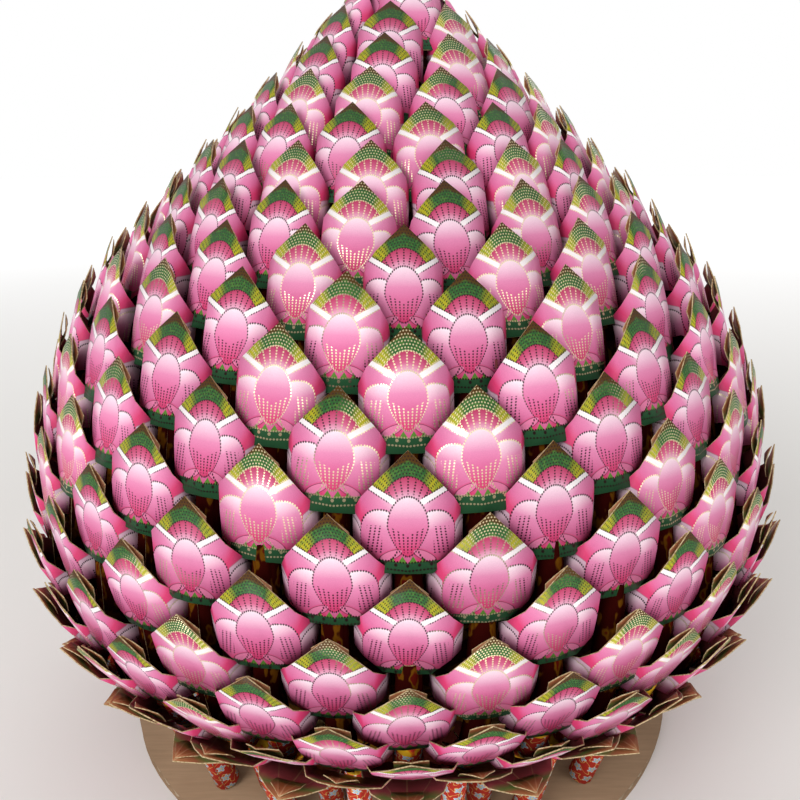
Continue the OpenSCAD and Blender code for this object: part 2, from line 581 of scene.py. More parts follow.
    def outline_dots(self, at: LotusLines) -> list[Value]:
        """Rows of dots along the outlines.

        The way along a row is an angle times a mean radius, or the place across times a factor.

        Args:
            at: outlines of the print.

        Returns:
            One mask for each row.
        """
        s, w, a = at.s, at.w, at.a
        egg_way = s.angle(at.egg_y * -7.7) * 9.4
        side_way = at.side_x.angle(at.side_y * 0.76) * 8.3
        wing_way = at.wing_x.angle(at.wing_y) * 11.5
        return [
            self.dots_along(egg_way, (at.egg_r - 1.0) * 8.6, at.egg_r.below(1.2)),
            self.dots_along(side_way, (at.side_r - 1.0) * 8.0, at.egg_r.above(1.05) * w.above(at.collar_low)),
            self.dots_along(wing_way, (at.wing_r - 1.0) * 10.5, at.on_wing * w.above(22.0)),
            self.dots_along(a * 1.17, w - at.collar_low - 0.1, a.above(7.0) * a.below(17.0)),
            self.dots_along(a * 1.17, w - at.collar_top + 0.15, a.above(5.0) * a.below(12.5)),
            self.dots_along(s * (a * 0.012 + 1.0), w - at.arch, at.in_fan),
            self.dots_along(s, w - at.foot + 0.1, a.below(11.0)),
            self.dots_along(s * 0.8, w - at.foot - 2.9, a.below(11.0))]

    def filling_dots(self, at: LotusLines) -> list[Value]:
        """Rays in the fan, rows in the petals, freckles in the arch and big dots on the foot.

        A ray is a line of equal angle about the fan's root, and its offset is angle * reach.

        Args:
            at: outlines of the print.

        Returns:
            One mask for each pattern.
        """
        s, w, a = at.s, at.w, at.a
        root = self.fan_root - w
        reach = distance(s, root)
        ray = centred_row(s.angle(root), self.ray_turn) * reach
        in_rays = at.in_fan * w.above(at.arch + 0.5) * at.egg_r.above(1.08) * a.below(8.6)
        egg_lean = centred_row(s / (2.0 - w * 0.034), self.egg_row)
        in_egg = w.above(30.2 - a * 0.5) * w.below(37.0) * at.egg_r.below(0.9)
        side_lean = row(a - (w - 31.0) * 0.16 + 0.2, self.side_row)
        in_side = w.above(26.5) * w.below(36.4) * (a - 12.3).abs().below(2.85) * at.side_r.below(0.86)
        wing_lean = row(at.wing_mid - (w - 34.0) * 0.08, self.wing_row)
        in_wing = w.above(30.0) * w.below(38.5) * at.on_wing * at.wing_mid.abs().below(2.8)
        level = w - a * a * 0.055
        stagger = row(level, 2 * self.freckle_step).above(0.0) * (self.freckle_step / 2)
        freckle_x = row(s + stagger, self.freckle_step)
        foot_y = w - 41.1 + a * 0.08
        return [
            self.dots_along(reach, ray, in_rays),
            self.dots_along(w, egg_lean, in_egg),
            self.dots_along(w, side_lean, in_side),
            self.dots_along(w, wing_lean, in_wing),
            disc_dot(freckle_x, row(level, self.freckle_step), self.freckle_r) * at.in_arch,
            disc_dot(centred_row(s, self.foot_dot_step), foot_y, self.foot_dot_r) * a.below(12.0)]

    def material(self) -> bpy.types.Material:
        """Build the print, each sheet a little lighter or darker and with the grain of a coarse screen; the
        wings carry painted shade and the foil dots a painted glint.

        Returns:
            The material.
        """
        t = Tree.paint("petal_print")
        at = LotusLines(t, self)
        colour = self.tip(t, at, self.petals(t, at))
        colour = self.outlines(t, at, self.middle(t, at, colour))
        dots = most([*self.outline_dots(at), *self.filling_dots(at)])
        # painted glint: the foil dots turn gold on some sheets and in patches of noise, and take the dark ink
        # colour elsewhere as painted shade; the metal follows the same mask
        painted_glint = (at.tone.ramp(0.45, 1.0) * 0.7 + t.noise(30.0, 2.0) - 0.52).ramp(0.12, 0.24)
        colour = t.mix(dots * 0.94, colour, t.mix(painted_glint, self.ink, self.foil))
        grain = t.noise(2600.0, 2.0)
        # painted shade: the wings darken away from the middle, where they turn back into the shade between
        # the petals
        painted_wing_shade = 1.0 - at.a.ramp(18.5, 31.0) * 0.56
        shade = ((at.tone * 3.7).fract() * 0.12 + grain * 0.22 + 0.83) * painted_wing_shade
        t.bump(dots * 0.4 + grain * 0.3, 0.25, 0.0002)
        roughness = 0.46 - dots * 0.2 + grain * 0.06
        metal = dots * painted_glint * 0.6
        return t.finish(t.scaled(colour, shade), roughness, Metallic=metal, Specular_IOR_Level=0.2)


@dataclass(frozen=True)
class FoilInside:
    """Inner face of the folded sheet: copper at the tip, a green band, then dull red that darkens into
    painted shade at the lower end.
    """

    copper: tuple = (0.33, 0.125, 0.035)
    rust: tuple = (0.28, 0.10, 0.04)
    green: tuple = (0.10, 0.17, 0.035)
    red: tuple = (0.30, 0.055, 0.065)
    shade: tuple = (0.16, 0.03, 0.03)
    fold: tuple = (0.50, 0.30, 0.16)

    def material(self) -> bpy.types.Material:
        """Build the inside from the place on the sheet, with a crease in the middle and two beside it.

        Returns:
            The material.
        """
        t = Tree.paint("petal_inside")
        s, w = t.uv_mm()
        cloud = t.noise(140.0, 4.0)
        # the last stop is painted shade: the inside darkens towards the lower end, deep in the fold
        places = (0.0, 0.20, 0.30, 0.42, 1.0)
        stops = list(zip(places, (self.copper, self.rust, self.green, self.red, self.shade)))
        colour = t.ramp((w + cloud * 6.0 - 3.0).ramp(0.0, 42.0), stops)
        side_crease = (s.abs() - w * 0.42).abs().below(0.3, 0.3) * 0.6
        crease = s.abs().below(0.35, 0.3).high(side_crease)
        colour = t.mix(crease * 0.55, colour, self.fold)
        t.bump(cloud, 0.3, 0.0006)
        return t.finish(colour, 0.38 + cloud * 0.2, Metallic=0.35)


@dataclass(frozen=True)
class CutEdge:
    """Cut edge of the doubled paper: pale cream with darker flecks."""

    cream: tuple = (0.52, 0.42, 0.23)
    dark: tuple = (0.26, 0.18, 0.07)

    def material(self) -> bpy.types.Material:
        """Build the edge finish.

        Returns:
            The material.
        """
        t = Tree.paint("petal_edge")
        fleck = t.noise(900.0, 3.0)
        t.bump(fleck, 0.4, 0.0002)
        return t.finish(t.mix(fleck.ramp(0.40, 0.62), self.cream, self.dark), 0.55)


@dataclass(frozen=True)
class SleevePrint:
    """Rolled sheet: yellow with orange flames above, below it red with gold scrolls and pale florets."""

    name: str = "sleeve_print"
    yellow: tuple = (0.80, 0.46, 0.02)
    orange: tuple = (0.72, 0.17, 0.01)
    red: tuple = (0.50, 0.030, 0.018)
    gold: tuple = (0.80, 0.56, 0.16)
    blue: tuple = (0.34, 0.52, 0.66)
    white: tuple = (0.84, 0.82, 0.76)
    sheen: float = 0.15
    band_top: float = 13.0
    scroll_step: float = 5.6
    cell: tuple = (7.4, 8.2)
    cell_rise: float = 3.1
    leaves: float = 5.0

    def band(self, t: Tree, s: Value, v: Value) -> Socket:
        """Red band: wavy gold scrolls, and florets whose rim is r = radius + 0.55 * sin(leaves * angle).

        Args:
            t: node tree of the print.
            s: place round the sleeve in mm.
            v: distance from the head in mm.

        Returns:
            The band's colour.
        """
        scroll = (s * 1.05 + (v * 0.8).sin() * 1.2).sin() * 1.7 + v - self.band_top
        curl = row(scroll, self.scroll_step).abs().below(0.32, 0.2)
        colour = t.mix(curl * 0.8, self.red, self.gold)
        x = row(s, self.cell[0])
        y = row(v + (s / self.cell[0]).floor() * self.cell_rise, self.cell[1])
        far = distance(x, y)
        bloom = far - (x.angle(y) * self.leaves).sin() * 0.55
        colour = t.mix(bloom.below(2.1, 0.2), colour, self.white)
        colour = t.mix(bloom.below(1.7, 0.2), colour, self.blue)
        return t.mix(far.below(0.6, 0.2), colour, self.gold)

    def material(self) -> bpy.types.Material:
        """Build the print from the way round the sleeve and the distance from the head, in mm.

        Returns:
            The material.
        """
        t = Tree.paint(self.name)
        s, v = t.uv_mm()
        tone = t.attribute("tone")
        v = v + tone * 2.0
        s = s + tone * 9.0
        flow = t.node("ShaderNodeCombineXYZ", {}, (s * 0.16, v * 0.09, tone * 9.0)).outputs[0]
        flame = t.noise(1.0, 2.0, vector=flow)
        colour = t.mix(flame.ramp(0.56, 0.60), self.yellow, self.orange)
        colour = t.mix(flame.ramp(0.64, 0.67), colour, self.red)
        colour = t.mix(v.above(self.band_top, 0.3), colour, self.band(t, s, v))
        grain = t.noise(1400.0, 3.0)
        t.bump(grain, 0.25, 0.0002)
        colour = t.scaled(colour, grain * 0.16 + 0.86)
        return t.finish(colour, 0.62 + grain * 0.08, Specular_IOR_Level=self.sheen)


@dataclass(frozen=True)
class PlainInside:
    """Unprinted inner face of the sleeves."""

    buff: tuple = (0.52, 0.34, 0.12)
    straw: tuple = (0.62, 0.44, 0.20)

    def material(self) -> bpy.types.Material:
        """Build the buff paper.

        Returns:
            The material.
        """
        t = Tree.paint("sleeve_inside")
        grain = t.noise(500.0, 4.0)
        t.bump(grain, 0.3, 0.0003)
        return t.finish(t.mix(grain, self.buff, self.straw), 0.7)


@dataclass(frozen=True)
class Card:
    """Brown card: soft fibre clouds, fine streaks and dark flecks."""

    name: str = "card"
    light: tuple = (0.29, 0.185, 0.105)
    dark: tuple = (0.21, 0.13, 0.07)
    fleck: tuple = (0.22, 0.14, 0.08)
    streaks: tuple = (40.0, 420.0, 300.0)

    def material(self) -> bpy.types.Material:
        """Build the card finish.

        Returns:
            The material.
        """
        t = Tree.paint(self.name)
        place = t.node("ShaderNodeMapping", {}, {"Vector": t.object_place(), "Scale": self.streaks})
        streak = t.noise(1.0, 4.0, vector=place.outputs[0])
        cloud = t.noise(35.0, 5.0)
        colour = t.mix((streak * 0.6 + cloud * 0.5).ramp(0.35, 0.75), self.light, self.dark)
        colour = t.mix(t.noise(900.0, 2.0).ramp(0.70, 0.78) * 0.4, colour, self.fleck)
        t.bump(streak + cloud * 0.5, 0.25, 0.0004)
        return t.finish(colour, 0.75 + cloud * 0.1)


@dataclass(frozen=True)
class FormerWrap:
    """Former wrapped in red joss paper with gold flames; both colours are darkened near black as painted
    shade deep inside the tower.
    """

    red: tuple = (0.04, 0.004, 0.003)
    gold: tuple = (0.16, 0.08, 0.006)

    def material(self) -> bpy.types.Material:
        """Build the wrapping paper on Object coordinates.

        Returns:
            The material.
        """
        t = Tree.paint("former_wrap")
        flame = t.noise(75.0, 2.0)
        grain = t.noise(700.0, 3.0)
        t.bump(grain, 0.3, 0.0003)
        # painted shade: red and gold are both kept near black for the deep inside of the tower
        colour = t.mix(flame.ramp(0.57, 0.60), self.red, self.gold)
        return t.finish(colour, 0.6 + grain * 0.1, Specular_IOR_Level=0.05)


# layout of the tower


@dataclass(frozen=True)
class Layout:
    """Sizes of the tower in mm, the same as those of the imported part, and the places they give."""

    rings: int = 21
    columns: int = 22
    belly_r: float = 219.0
    belly_z: float = 130.0
    first_tip_z: float = 78.0
    apex_z: float = 438.0
    cone_lean: float = 47.5
    skirt_rings: int = 5
    skirt_step: float = 18.5
    bud_r: float = 4.6
    bud_step: float = 12.5
    bud_w: float = 22.0
    bud_petals: int = 3
    tower_turn: float = 0.9
    petal_len: float = 42.0
    petal_w: float = 42.0
    petal_w_min: float = 32.0
    petal_wall: float = 0.7
    wing_depth: float = 12.0
    wing_depth_min: float = 7.0
    lean_low: float = 66.0
    lean_top: float = -42.0
    lean_fade: float = 130.0
    sleeve_foot_r: float = 7.0
    sleeve_head_r: float = 5.0
    sleeve_len: float = 36.0
    stand_in: float = 83.0
    stand_step: float = 14.0
    stand_lean: float = 17.0
    disc_r: float = 174.0
    disc_t: float = 5.0
    play: float = 0.3
    chained: int = 8
    room: float = 35.5
    span_share: float = 0.745
    top_turn: tuple = (-7.0, 8.0, -10.0, -7.0, -5.0, 12.0)
    fall_share_up: float = 0.482
    fall_share_down: float = 1.86
    levels: int = 60
    sleeve_share: float = 0.55
    tuck: float = 3.0
    seat_share: float = 0.22

    def fall(self, z: np.ndarray) -> np.ndarray:
        """Square fall of the tip radius, above or below the belly."""
        return np.where(np.asarray(z) < self.belly_z, self.fall_share_down, self.fall_share_up) / self.belly_r

    def dome(self, z: np.ndarray) -> np.ndarray:
        """Radius of the dome at a height."""
        return self.belly_r - self.fall(z) * (z - self.belly_z) ** 2

    def cone(self, z: np.ndarray) -> np.ndarray:
        """Radius of the upper cone at a height."""
        return (self.apex_z - z) * math.tan(math.radians(self.cone_lean))

    def height(self, ring: int) -> float:
        """Height of a ring's tips: equal steps in the skirt, then even along the face up to the bud.

        Args:
            ring: number of the ring from 0.

        Returns:
            The height in mm.
        """
        skirt_z = self.first_tip_z + self.skirt_rings * self.skirt_step
        bud_z = self.apex_z - self.bud_r / math.tan(math.radians(self.cone_lean))
        if ring < self.skirt_rings:
            return self.first_tip_z + ring * self.skirt_step
        if ring == self.rings - 1:
            return bud_z
        level = np.linspace(skirt_z, bud_z - self.bud_step, self.levels + 1)
        mid = (level[1:] + level[:-1]) / 2
        slope = np.arctan(2 * self.fall(mid) * (mid - self.belly_z))
        slope = np.where(self.dome(mid) < self.cone(mid), slope, math.radians(self.cone_lean))
        along = np.concatenate([[0.0], np.cumsum(np.diff(level) / np.cos(slope))])
        share = (ring - self.skirt_rings) / (self.rings - 2 - self.skirt_rings)
        return float(np.interp(share * along[-1], along, level))

    def tip(self, ring: int) -> tuple[float, float]:
        """Radius and height of a ring's petal tips: a dome that passes into a cone."""
        z = self.height(ring)
        return max(self.bud_r, float(min(self.dome(z), self.cone(z)))), z

    def lean(self, ring: int) -> float:
        """Outward lean of a ring's petals in degrees, fading with height.

        It is top + (low - top) * exp(-height / fade).

        Args:
            ring: number of the ring from 0.

        Returns:
            The lean in degrees.
        """
        z = self.tip(ring)[1]
        fade = math.exp(-(z - self.first_tip_z) / self.lean_fade)
        return self.lean_top + (self.lean_low - self.lean_top) * fade

    def count(self, ring: int) -> int:
        """Petals in a ring: as many as find room, never more than the full number."""
        fit = math.floor(2 * math.pi * (self.tip(ring)[0] + self.petal_len / 4) / self.room)
        return max(self.bud_petals, min(self.columns, fit))

    def pitch(self, ring: int) -> float:
        """Distance from petal to petal along the ring of tips."""
        return 2 * math.pi * self.tip(ring)[0] / self.count(ring)

    def turn(self, ring: int) -> float:
        """Turn of a ring about the axis, in degrees.

        Full rings are offset by half a step in turn; thin rings have turns of their own.

        Args:
            ring: number of the ring from 0.

        Returns:
            The turn in degrees.
        """
        if self.count(ring) == self.columns:
            return self.tower_turn - (ring % 2) * 180.0 / self.columns
        first_thin = sum(self.count(i) == self.columns for i in range(self.rings))
        return self.top_turn[(ring - first_thin) % len(self.top_turn)]

    def width(self, ring: int) -> float:
        """Width of a ring's petals.

        A share of the pitch between the two limits.

        Args:
            ring: number of the ring from 0.

        Returns:
            The width in mm.
        """
        if ring == self.rings - 1:
            return self.bud_w
        return min(self.petal_w, max(self.petal_w_min, self.span_share * self.pitch(ring)))

    def crowding(self, ring: int) -> float:
        """1 where petals stand well apart, 0 where they touch."""
        return min(1.0, max(0.0, (self.pitch(ring) - self.width(ring)) / (self.petal_w / 2)))

    def depth(self, ring: int) -> float:
        """Depth of a ring's wings."""
        return self.wing_depth_min + (self.wing_depth - self.wing_depth_min) * self.crowding(ring)

    def below(self, ring: int, down: float, deep: float) -> np.ndarray:
        """Point at a place on a petal: down and deep are turned by the petal's lean.

        Args:
            ring: number of the ring from 0.
            down: distance below the tip in mm.
            deep: distance behind the front in mm.

        Returns:
            Its radius and height in mm.
        """
        a = math.radians(self.lean(ring))
        along, across = np.array([math.sin(a), math.cos(a)]), np.array([math.cos(a), -math.sin(a)])
        return np.array(self.tip(ring)) - down * along - deep * across

    def slim(self, ring: int) -> float:
        """Sleeves get slimmer where the ring is crowded."""
        return min(1.0, self.pitch(ring) / (self.petal_w * 1.2))

    def head(self, ring: int) -> np.ndarray:
        """Radius and height of a sleeve's head.

        It is tucked behind the petal, a little above the petal's lower edge.

        Args:
            ring: number of the ring from 0.

        Returns:
            Its radius and height in mm.
        """
        a = math.radians(self.lean(ring) - self.stand_lean) if ring < 2 else 0.0
        r = self.sleeve_head_r * self.slim(ring)
        deep = self.petal_wall + self.play + r / math.cos(a) + (self.tuck + self.play) * math.tan(a)
        return self.below(ring, self.petal_len - self.tuck, deep)

    def foot(self, ring: int) -> np.ndarray:
        """Radius and height of a sleeve's foot: on the disc, on a lower head, or along its own lean.

        Args:
            ring: number of the ring from 0.

        Returns:
            Its radius and height in mm.
        """
        r = self.sleeve_foot_r * self.slim(ring)
        head = self.head(ring)
        if ring < 2:
            out = self.belly_r - self.stand_in + ring * self.stand_step
            v = head - np.array([out, self.disc_t])
            return np.array([out, self.disc_t + self.play + r * math.sin(math.atan2(v[0], v[1]))])
        if ring < self.chained:
            low = ring - 2
            tilt = abs(math.sin(math.radians(self.lean(low) - self.sleeve_lean(low))))
            seat = self.play + self.sleeve_head_r * self.slim(low) * tilt + self.seat_share * r
            return self.below(low, self.petal_len - self.tuck - seat, self.petal_wall + self.play + r)
        a = math.radians(self.lean(ring) * self.sleeve_share)
        return head - self.sleeve_len * np.array([math.sin(a), math.cos(a)])

    def sleeve_lean(self, ring: int) -> float:
        """Outward lean of a sleeve in degrees."""
        v = self.head(ring) - self.foot(ring)
        return math.degrees(math.atan2(v[0], v[1]))

    def angles(self, ring: int) -> np.ndarray:
        """Angles of a ring's petals about the axis, in degrees."""
        n = self.count(ring)
        return self.turn(ring) + np.arange(n) * 360.0 / n


# meshes


@dataclass
class Shell:
    """A thin closed sheet: points (mm), quads, finish of each quad and place on the flat sheet (mm)."""

    points: np.ndarray
    quads: np.ndarray
    finish: np.ndarray
    sheet: np.ndarray

    @staticmethod
    def of(front: np.ndarray, back: np.ndarray, flat: np.ndarray, front_face: Face, back_face: Face) -> Shell:
        """Close two grids of points into a shell.

        The quad at row j and column i joins (j, i), (j+1, i), (j+1, i+1), (j, i+1); the back uses
        the same corners the other way round, and four strips of quads join the borders.

        Args:
            front: grid of points, rows down and columns across.
            back: the same grid moved through the wall.
            flat: place of each grid point on the flat sheet.
            front_face: finish of the front.
            back_face: finish of the back.

        Returns:
            The closed shell.
        """
        rows, cols = front.shape[:2]
        ids = np.arange(rows * cols).reshape(rows, cols)
        far = ids + rows * cols
        face = np.stack([ids[:-1, :-1], ids[1:, :-1], ids[1:, 1:], ids[:-1, 1:]], -1).reshape(-1, 4)
        rear = face[:, ::-1] + rows * cols
        top = np.stack([ids[0, :-1], ids[0, 1:], far[0, 1:], far[0, :-1]], -1)
        low = np.stack([ids[-1, 1:], ids[-1, :-1], far[-1, :-1], far[-1, 1:]], -1)
        left = np.stack([ids[:-1, 0], far[:-1, 0], far[1:, 0], ids[1:, 0]], -1)
        right = np.stack([ids[:-1, -1], ids[1:, -1], far[1:, -1], far[:-1, -1]], -1)
        rims = np.concatenate([top, low, left, right])
        quads = np.concatenate([face, rear, rims])
        finish = np.concatenate([
            np.full(len(face), front_face.value), np.full(len(rear), back_face.value),
            np.full(len(rims), Face.EDGE.value)])
        points = np.concatenate([front.reshape(-1, 3), back.reshape(-1, 3)])
        sheet = np.concatenate([flat.reshape(-1, 2)] * 2)
        return Shell(points, quads, finish, sheet)

    @staticmethod
    def join(shells: list[Shell]) -> Shell:
        """Put several shells into one.

        Args:
            shells: the shells.

        Returns:
            One shell with all their points and quads.
        """
        offsets = np.cumsum([0] + [len(s.points) for s in shells[:-1]])
        return Shell(
            np.concatenate([s.points for s in shells]),
            np.concatenate([s.quads + o for s, o in zip(shells, offsets)]),
            np.concatenate([s.finish for s in shells]),
            np.concatenate([s.sheet for s in shells]))

    def repeated(self, turns: np.ndarray, moves: np.ndarray) -> Shell:
        """Copies of the shell, each turned and then moved.

        Args:
            turns: a 3x3 matrix for each copy.
            moves: a move in mm for each copy.

        Returns:
            One shell with all the copies.
        """
        n = len(turns)
        points = (np.einsum("nij,vj->nvi", turns, self.points) + moves[:, None, :]).reshape(-1, 3)
        quads = (self.quads[None] + (np.arange(n) * len(self.points))[:, None, None]).reshape(-1, 4)
        return Shell(points, quads, np.tile(self.finish, n), np.tile(self.sheet, (n, 1)))


def build_piece(
        name: str, shell: Shell, materials: list, tones: np.ndarray | None = None) -> bpy.types.Object:
    """Turn a shell into a mesh object in metres.

    Args:
        name: name of the piece.
        shell: its points, quads, finishes and sheet places.
        materials: materials in the order of Face.
        tones: a number per point that tells copies apart.

    Returns:
        The linked object.
    """
    mesh = bpy.data.meshes.new(name)
    count = len(shell.quads)
    mesh.vertices.add(len(shell.points))
    mesh.vertices.foreach_set("co", (shell.points * MM).astype(np.float32).ravel())
    mesh.loops.add(count * 4)
    mesh.loops.foreach_set("vertex_index", shell.quads.astype(np.int32).ravel())
    mesh.polygons.add(count)
    mesh.polygons.foreach_set("loop_start", np.arange(0, count * 4, 4, dtype=np.int32))
    mesh.polygons.foreach_set("material_index", shell.finish.astype(np.int32))
    mesh.polygons.foreach_set("use_smooth", shell.finish != Face.EDGE.value)
    uv = shell.sheet[shell.quads.ravel()] / UV_SPAN
    uv = np.column_stack([uv[:, 0] + 0.5, 1.0 - uv[:, 1]])
    mesh.uv_layers.new(name="sheet").data.foreach_set("uv", uv.astype(np.float32).ravel())
    if tones is not None:
        mesh.attributes.new("tone", "FLOAT", "POINT").data.foreach_set("value", tones.astype(np.float32))
    for material in materials:
        mesh.materials.append(material)
    mesh.update(calc_edges=True)
    mesh.validate()
    made = bpy.data.objects.new(name, mesh)
    bpy.context.scene.collection.objects.link(made)
    return made


def turned(axis: Axis, degrees: np.ndarray) -> np.ndarray:
    """Rotation matrices about an axis.

    With i and j the two axes that follow it in turn, the entries (i, i) and (j, j) are the cosine,
    (j, i) is the sine and (i, j) its negative.

    Args:
        axis: the axis.
        degrees: one angle for each matrix.

    Returns:
        The 3x3 matrices.
    """
    k = axis.value
    i, j = (k + 1) % 3, (k + 2) % 3
    cosine, sine = np.cos(np.radians(degrees)), np.sin(np.radians(degrees))
    made = np.zeros((len(cosine), 3, 3))
    made[:, k, k] = 1.0
    made[:, i, i] = cosine
    made[:, j, j] = cosine
    made[:, j, i] = sine
    made[:, i, j] = -sine
    return made


def mirrored(half: np.ndarray, sign: int) -> np.ndarray:
    """Values from the far left to the far right, from those of the right half.

    Args:
        half: values from the middle outwards.
        sign: -1 where the left half has the other sign, else 1.

    Returns:
        The values of both halves, the middle one once.
    """
    return np.concatenate([sign * half[:0:-1], half])


@dataclass
class Petals:
    """All rings of folded petals; sizes in mm, angles in degrees."""

    layout: Layout
    wall: float = 0.5
    columns: int = 10
    column_power: float = 0.85
    bend: tuple = ((-0.36, 0.0), (0.0, 0.0), (0.36, 0.0), (0.475, 0.055), (0.515, 0.25))
    wing_end: tuple = (0.505, 0.34)
    tail: tuple = ((0.49, 5.0), (0.36, 9.0))
    edge_fall: float = 0.98
    edge_drop: float = 0.55
    tail_fall: float = 1.2
    bulge: float = 0.7
    curl: float = 1.6
    curl_span: tuple = (6.0, 14.0)
    lift: float = 7.5
    hang: float = 2.0
    long_hang: float = 5.5
    long_lean: float = 15.0
    flat_half: float = 9.0
    round_span: float = 10.0
    ply_half: float = 0.17
    ply_gap: float = 1.7
    ply_len: float = 16.0
    ply_top: float = 1.3
    seed: int = 7
    most_scatter: float = 1.6
    hand_turns: tuple = (1.2, 2.2, 1.6)
    hand_slips: tuple = (0.5, 0.4)
    droop: tuple = (4.0, -5.0, 6.0)
    finishes: list = field(default_factory=list)

    def section(self, ring: int) -> np.ndarray:
        """Half of the strip seen from above, from the middle outwards.

        A quadratic B-spline through the corners of the bent strip: flat front, bent shoulder, wing,
        and where there is room a tail that curls back round the sleeve. Between two middles m and n of
        its sides, with the corner c between them, it is (1-t)^2 m + 2t(1-t) c + t^2 n.

        Args:
            ring: number of the ring from 0.

        Returns:
            Fine points (x, depth).
        """
        w, d = self.layout.width(ring), self.layout.depth(ring)
        spread = max(0.0, (self.layout.crowding(ring) - 0.5) * 2)
        knots = [(x * w, y * w) for x, y in self.bend]
        knots.append((self.wing_end[0] * w, max(d, self.wing_end[1] * w)))
        if spread > 0:
            knots += [(x * w, d + deep * spread) for x, deep in self.tail]
        k = np.array(knots)
        mids = (k[:-1] + k[1:]) / 2
        t = np.linspace(0, 1, 24)[:, None]
        bends = zip(mids, k[1:], mids[1:])
        parts = [(1 - t) ** 2 * m + 2 * t * (1 - t) * c + t ** 2 * n for m, c, n in bends]
        parts.append(mids[-1] + (k[-1] - mids[-1]) * t)
        fine = np.concatenate(parts)
        return fine[fine[:, 0] >= 0]

    def length(self, ring: int) -> float:
        """Length of a ring's sheets: longer where the petals lean inward and show their foot."""
        inward = min(1.0, max(0.0, -self.layout.lean(ring) / self.long_lean))
        return self.layout.petal_len + self.hang + (self.long_hang - self.hang) * inward

    def half_sheet(self, ring: int) -> tuple[np.ndarray, ...]:
        """Section with its edges, cut where the two edges meet.

        The upper edge is edge_fall * x + edge_drop * depth, and on the tail it falls evenly with the
        arc. The lower edge is the length less lift * t^2 (3 - 2t), with t the share of the round corner.

        Args:
            ring: number of the ring from 0.

        Returns:
            The section, its arc length, the upper and the lower edge.
        """
        line = self.section(ring)
        line[0] = (0.0, 0.0)
        arc = np.concatenate([[0], np.cumsum(np.hypot(*np.diff(line, axis=0).T))])
        top = self.edge_fall * line[:, 0] + self.edge_drop * line[:, 1]
        past = line[:, 1] > self.layout.depth(ring)
        if past.any():
            k = int(np.argmax(past))
            top[past] = top[k] + self.tail_fall * (arc[past] - arc[k])
        t = np.clip((arc - self.flat_half) / self.round_span, 0, 1)
        low = self.length(ring) - self.lift * t * t * (3 - 2 * t)
        meet = top > low - 0.4
        keep = int(np.argmax(meet)) if meet.any() else len(arc)
        return line[:keep], arc[:keep], top[:keep], low[:keep]

    def sheet(self, ring: int) -> Shell:
        """Outer ply: columns along the arc, a little closer at the ends, and three rows down.

        The front bows out by bulge * sin(pi * w / length), and its foot curls out by
        curl * (w / length)^3 away from the middle. The back lies one wall behind along the normal.

        Args:
            ring: number of the ring from 0.

        Returns:
            The ply.
        """
        line, arc, top, low = self.half_sheet(ring)
        at = np.linspace(0, 1, self.columns // 2 + 1) ** self.column_power * arc[-1]
        x, y, up, down = (np.interp(at, arc, v) for v in (line[:, 0], line[:, 1], top, low))
        x, s = mirrored(x, -1), mirrored(at, -1)
        y, up, down = mirrored(y, 1), mirrored(up, 1), mirrored(down, 1)
        w = up + (down - up) * np.array([0.0, 0.5, 1.0])[:, None]
        share = w / self.layout.petal_len
        curl_from, curl_to = self.curl_span
        side = np.clip((np.abs(s) - curl_from) / (curl_to - curl_from), 0, 1)
        bow = self.bulge * np.sin(math.pi * np.clip(share, 0, 1)) - self.curl * share ** 3 * side
        tangent = np.gradient(np.column_stack([x, y]), axis=0)
        tangent /= np.linalg.norm(tangent, axis=1)[:, None]
        front = np.stack([np.broadcast_to(x, w.shape), y - bow, -w], -1)
        inward = np.stack([-tangent[:, 1], tangent[:, 0], np.zeros_like(x)], -1) * self.wall
        printed = w * self.layout.petal_len / (self.layout.petal_len + self.hang)
        flat = np.stack([np.broadcast_to(s, w.shape), printed], -1)
        return Shell.of(front, front + inward[None], flat, Face.PRINT, Face.INSIDE)

    def inner_ply(self, ring: int) -> Shell:
        """Inner ply near the tip: it leaves the outer one, bows back and comes forward again.

        Its distance behind the front is gap * sin(pi * w / length) plus the wall.

        Args:
            ring: number of the ring from 0.

        Returns:
            The ply.
        """
        x = np.linspace(-self.ply_half, self.ply_half, 5) * self.layout.width(ring)
        top = self.edge_fall * np.abs(x) + self.ply_top
        w = top + (self.ply_len - top) * np.array([0.0, 0.5, 1.0])[:, None]
        bow = self.ply_gap * np.sin(math.pi * np.clip(w / self.ply_len, 0, 1))
        deep = self.wall + 0.15 + bow + 0.006 * x ** 2
        across = np.broadcast_to(x, w.shape)
        front = np.stack([across, deep, -w], -1)
        back = front + np.array([0, self.wall * 0.8, 0])
        return Shell.of(front, back, np.stack([across, w], -1), Face.INSIDE, Face.INSIDE)

